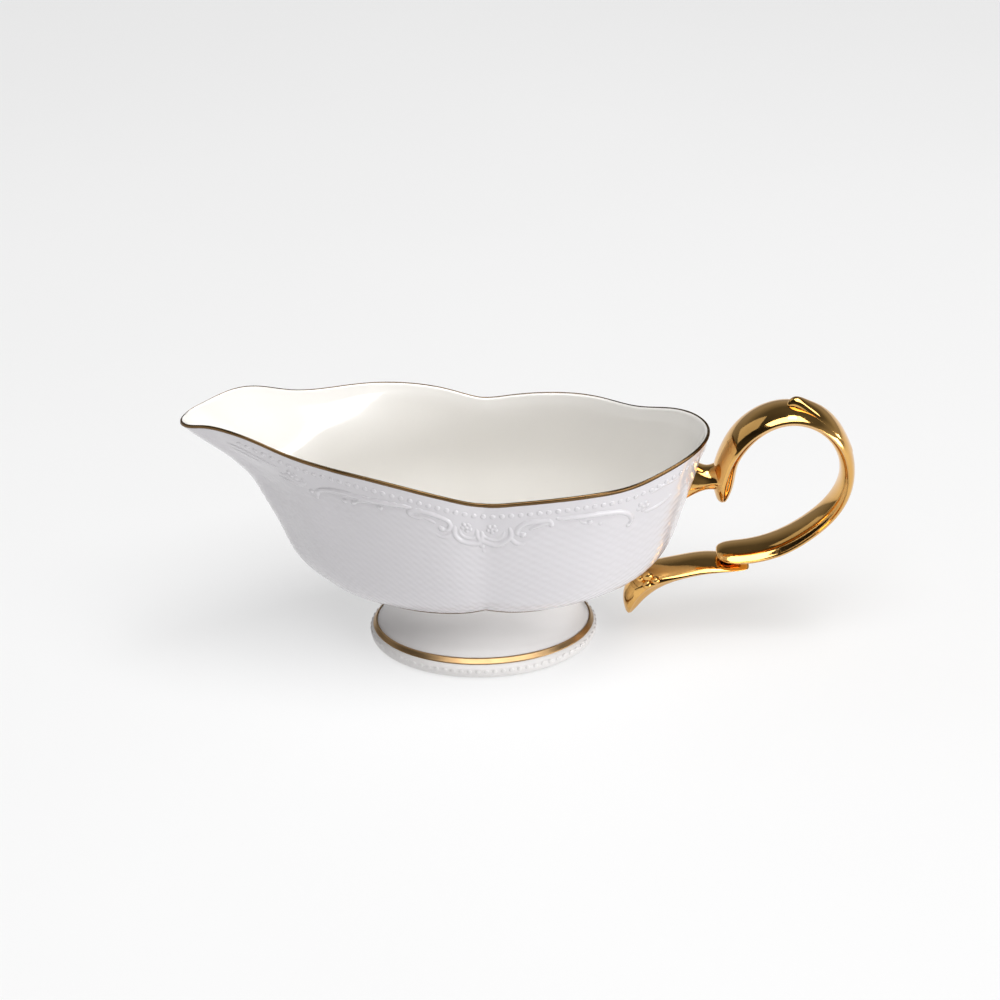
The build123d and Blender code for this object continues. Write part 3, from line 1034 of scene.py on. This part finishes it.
def make_studio():
    world = bpy.data.worlds.new("studio")
    bpy.context.scene.world = world
    world.use_nodes = True
    nodes, links = world.node_tree.nodes, world.node_tree.links
    way = nodes.new("ShaderNodeTexCoord").outputs["Generated"]
    parts = nodes.new("ShaderNodeSeparateXYZ")
    links.new(way, parts.inputs["Vector"])
    mix = nodes.new("ShaderNodeMixRGB")
    mix.blend_type = "MULTIPLY"
    mix.inputs["Fac"].default_value = 1.0
    links.new(ramp(nodes, links, parts.outputs["Z"], SKY_STOPS), mix.inputs["Color1"])
    links.new(side_shade(nodes, links, way), mix.inputs["Color2"])
    links.new(mix.outputs["Color"], nodes["Background"].inputs["Color"])
    nodes["Background"].inputs["Strength"].default_value = STUDIO_STRENGTH


def make_stage():
    make_floor()
    make_studio()
    for name, place, size, power in SOFTBOXES:
        area_light(name, place, size, power)


def make_camera():
    deselect_all()
    lift = math.radians(CAMERA_LIFT)
    place = Vector(CAMERA_AIM) + Vector((0, -math.cos(lift), math.sin(lift))) * CAMERA_REACH
    bpy.ops.object.camera_add(location=place, rotation=(math.radians(90 - CAMERA_LIFT), 0, 0))
    camera = bpy.context.object
    camera.name = "camera"
    camera.data.lens = CAMERA_LENS
    camera.data.sensor_width = CAMERA_SENSOR
    camera.rotation_euler.rotate_axis("Z", math.radians(CAMERA_ROLL))
    bpy.context.scene.camera = camera


# ------------------------------------------------------------ the whole jug
# Each finish: name, pale, deep, and where it isn't the usual glaze, least and most roughness and coat.
# The outside, lining and foot are one white porcelain in three tones, as painted light and shade: the
# outside is greyest and lilac (painted shade), the lining is palest and ivory (the lit copy), and the foot
# lies between (painted shade).
OUTSIDE_PAINTED_SHADE = ("glazed_porcelain_outside_painted_shade", (0.71, 0.69, 0.715), (0.695, 0.675, 0.70))
LINING_PAINTED_LIGHT = ("glazed_porcelain_lining_painted_light", (0.82, 0.80, 0.765), (0.805, 0.785, 0.75))
FOOT_GLAZE_PAINTED_SHADE = ("glazed_porcelain_foot_painted_shade", (0.77, 0.75, 0.74), (0.755, 0.735, 0.725), 0.42, 0.52, 0.1)
# The rim and foot gilding are the handle's gold, darkened as painted shade: the rim's to dark brown and the
# foot's to tan.
RIM_GOLD_PAINTED_SHADE = ("rim_gold_painted_shade", (0.18, 0.105, 0.044), (0.13, 0.075, 0.03), 0.16, 0.28)
FOOT_GOLD_PAINTED_SHADE = ("foot_gold_painted_shade", (0.44, 0.285, 0.14), (0.38, 0.24, 0.115), 0.28, 0.36)
HANDLE_GOLD = ("fired_gold", (0.82, 0.475, 0.15), (0.73, 0.415, 0.125), 0.06, 0.12)


def make_body(outside, lining, rim_gold):
    """The bowl and all that is moulded or painted on its wall."""
    outer = notch_base(soften_crease(wall_rows(OUTER_LEVELS, LIP_RISE, OUTER_ROWS), *OUTER_CREASE))
    inner = flare_lip(soften_crease(wall_rows(INNER_LEVELS, LIP_RISE, INNER_ROWS), *INNER_CREASE))
    finder = wall_finder(outer)
    finish_piece(make_bowl(outer, inner, outside, lining), None, "glazed_porcelain", "bowl")
    # The neck cord takes the rim gold, darkened to brown as painted shade.
    finish_piece(make_neck_cord(outer), rim_gold, "fired_gold")
    finish_piece(make_flank_scrolls("scrolls_near_flank", finder, -1), outside, "glazed_porcelain")
    finish_piece(make_flank_scrolls("scrolls_far_flank", finder, 1), outside, "glazed_porcelain")
    finish_piece(make_rim_gilding(outer, inner), rim_gold, "fired_gold", "rim_gilding")
    finish_piece(make_rim_beads(outer), outside, "glazed_porcelain", "rim_bead_row")


def make_pedestal(glaze, gilt):
    finish_piece(make_foot(), glaze, "glazed_porcelain", "foot")
    finish_piece(make_foot_gilding(), gilt, "fired_gold", "foot_gilding")
    finish_piece(make_foot_beads(), glaze, "glazed_porcelain", "foot_bead_row")


def make_handle(gilt):
    finish_piece(make_loop(), gilt, "gilded_porcelain", "handle_loop")
    finish_piece(make_thumb_leaf(), gilt, "gilded_porcelain", "thumb_leaf")
    finish_piece(make_neck(), gilt, "gilded_porcelain", "handle_neck")
    finish_piece(make_lower_leaf(), gilt, "gilded_porcelain", "handle_lower_leaf")
    finish_piece(make_leaf_buds(), gilt, "gilded_porcelain")


def main():
    make_camera()
    make_stage()
    outside, lining, foot_glaze = (glazed_porcelain(*finish) for finish in (OUTSIDE_PAINTED_SHADE, LINING_PAINTED_LIGHT, FOOT_GLAZE_PAINTED_SHADE))
    rim_gold, foot_gold, handle_gold = (gold(*finish) for finish in (RIM_GOLD_PAINTED_SHADE, FOOT_GOLD_PAINTED_SHADE, HANDLE_GOLD))
    make_body(outside, lining, rim_gold)
    make_pedestal(foot_glaze, foot_gold)
    make_handle(handle_gold)


main()
bpy.context.scene.view_settings.view_transform = "Standard"
